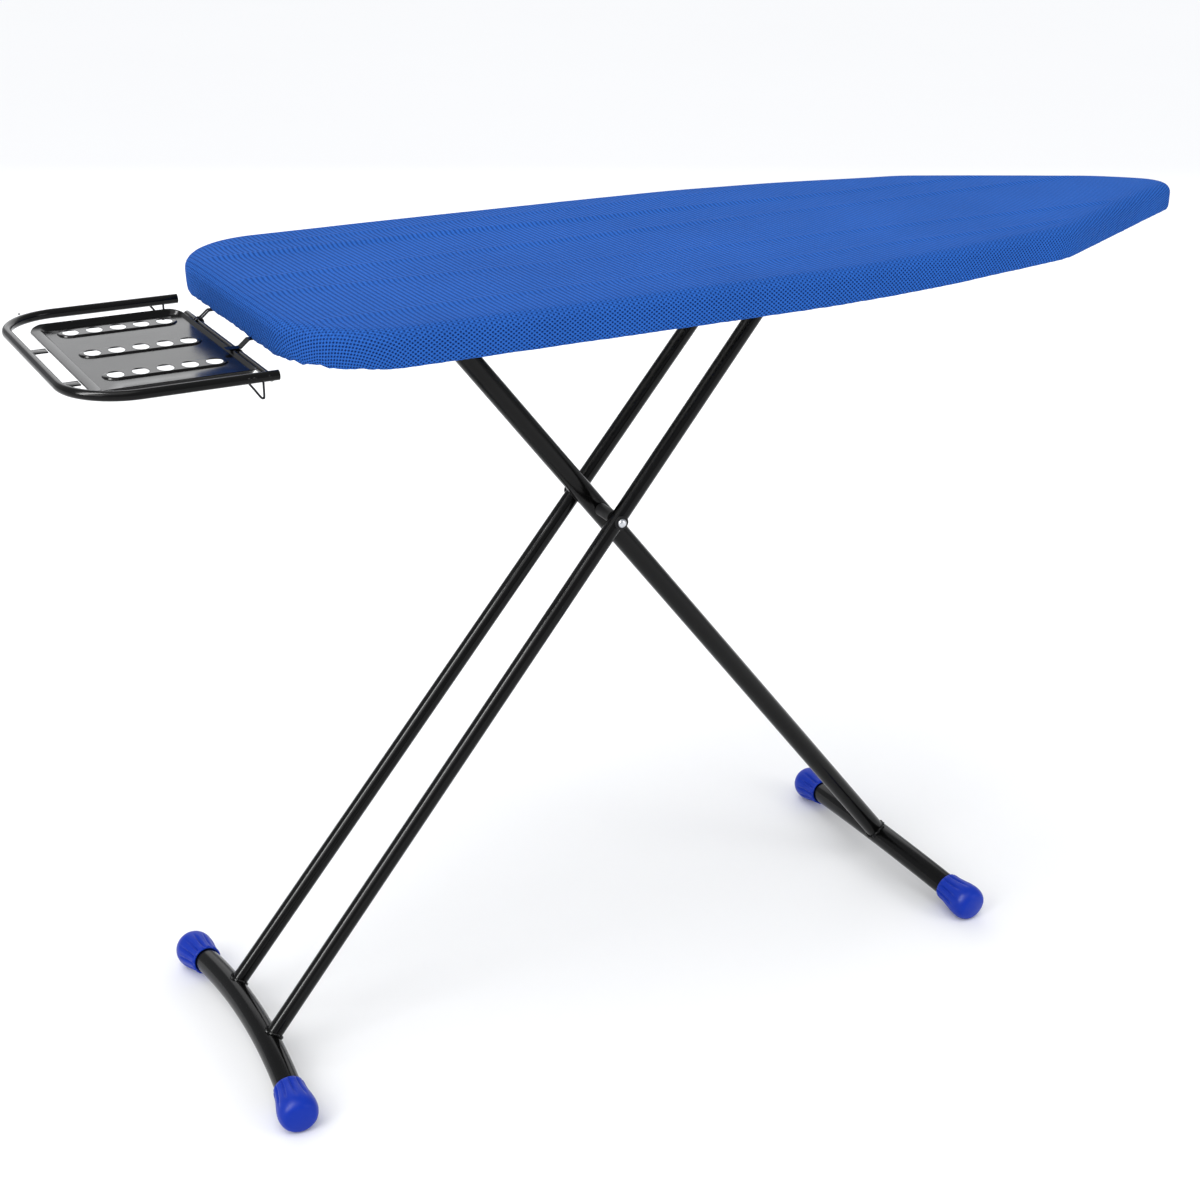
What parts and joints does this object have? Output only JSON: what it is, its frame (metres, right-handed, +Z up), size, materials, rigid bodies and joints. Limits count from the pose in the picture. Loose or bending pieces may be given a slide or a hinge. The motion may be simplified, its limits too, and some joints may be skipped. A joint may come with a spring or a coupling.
{
  "type": "ironing board",
  "caption": "Folding ironing board with a padded stretch cover, crossed tube legs, a sliding height latch and a tipping iron rest.",
  "frame": {"origin": "on the floor, under the middle of the whole length from iron rest to nose and of the width", "axes": "+X along the board towards its nose, +Y across the board, +Z up"},
  "size_m": [1.461, 0.45, 0.9],
  "materials": {
    "cover_mesh": "knitted air mesh, royal blue, matt",
    "pad_foam": "open-cell foam, off white",
    "elastic": "woven elastic, blue",
    "deck_paint": "pressed and expanded steel, grey powder coat",
    "black_paint": "steel tube, gloss black powder coat",
    "zinc_plate": "pressed steel, bright zinc plate",
    "spring_steel": "drawn steel wire, oil blackened",
    "blue_plastic": "injection moulded polypropylene, blue",
    "nylon": "moulded nylon, black"
  },
  "bodies": {
    "board": {"cover": "cover_mesh", "pad": "pad_foam", "hem_elastic": "elastic", "deck_panel": "deck_paint", "deck_skirt": "deck_paint", "brace_tail": "deck_paint", "brace_middle": "deck_paint", "brace_nose": "deck_paint", "slide_rail_near": "zinc_plate", "slide_rail_far": "zinc_plate", "height_rack": "zinc_plate", "leg_bracket": "zinc_plate", "hinge_pin": "zinc_plate", "rest_knuckle_near": "black_paint", "rest_knuckle_far": "spring_steel"},
    "inner_leg": {"inner_leg_tube": "black_paint", "inner_leg_bush": "black_paint", "inner_leg_foot_tube": "black_paint", "inner_leg_foot_cap_near": "blue_plastic", "inner_leg_foot_cap_far": "blue_plastic"},
    "outer_leg": {"outer_leg_tube_near": "black_paint", "outer_leg_tube_far": "black_paint", "outer_leg_slide_bar": "black_paint", "outer_leg_foot_tube": "black_paint", "outer_leg_foot_cap_near": "blue_plastic", "outer_leg_foot_cap_far": "blue_plastic", "pivot_rivet": "zinc_plate", "pivot_washer_near": "nylon", "pivot_washer_far": "nylon", "pivot_spacer_near": "nylon", "pivot_spacer_far": "nylon"},
    "carriage": {"slide_shoe_near": "nylon", "slide_shoe_far": "nylon", "latch_strap": "zinc_plate", "latch_pin": "zinc_plate"},
    "latch": {"latch_lever": "black_paint", "latch_grip": "nylon"},
    "iron_rest": {"rest_frame": "black_paint", "rest_tray": "black_paint", "rest_hinge_bar": "black_paint", "rest_tab_near": "black_paint", "rest_tab_far": "black_paint", "rest_wire_near": "spring_steel", "rest_wire_far": "spring_steel"}
  },
  "joints": [
    {"name": "leg_fold", "type": "hinge", "parent": "board", "child": "inner_leg", "pos_m": [-0.30923, 0, 0.853], "axis": [0, -1, 0], "range_deg": [0, 47]},
    {"name": "leg_cross", "type": "hinge", "parent": "inner_leg", "child": "outer_leg", "pos_m": [-0.1005, 0, 0.592], "axis": [0, -1, 0], "range_deg": [-93.5, 0]},
    {"name": "carriage_level", "type": "hinge", "parent": "outer_leg", "child": "carriage", "pos_m": [0.11313, 0, 0.853], "axis": [0, -1, 0], "range_deg": [0, 46.5]},
    {"name": "latch_squeeze", "type": "hinge", "parent": "carriage", "child": "latch", "pos_m": [0.14243, 0.07, 0.83], "axis": [1, 0, 0], "range_deg": [0, 6], "stiffness_Nm_per_rad": 0.6, "springref_deg": -11.46},
    {"name": "rest_tip", "type": "hinge", "parent": "board", "child": "iron_rest", "pos_m": [-0.536, 0, 0.849], "axis": [0, 1, 0], "range_deg": [0, 80]}
  ],
  "couplings": [
    {"joint": "leg_cross", "follows": "leg_fold", "ratio": -1.987},
    {"joint": "carriage_level", "follows": "leg_fold", "ratio": 0.98702}
  ]
}
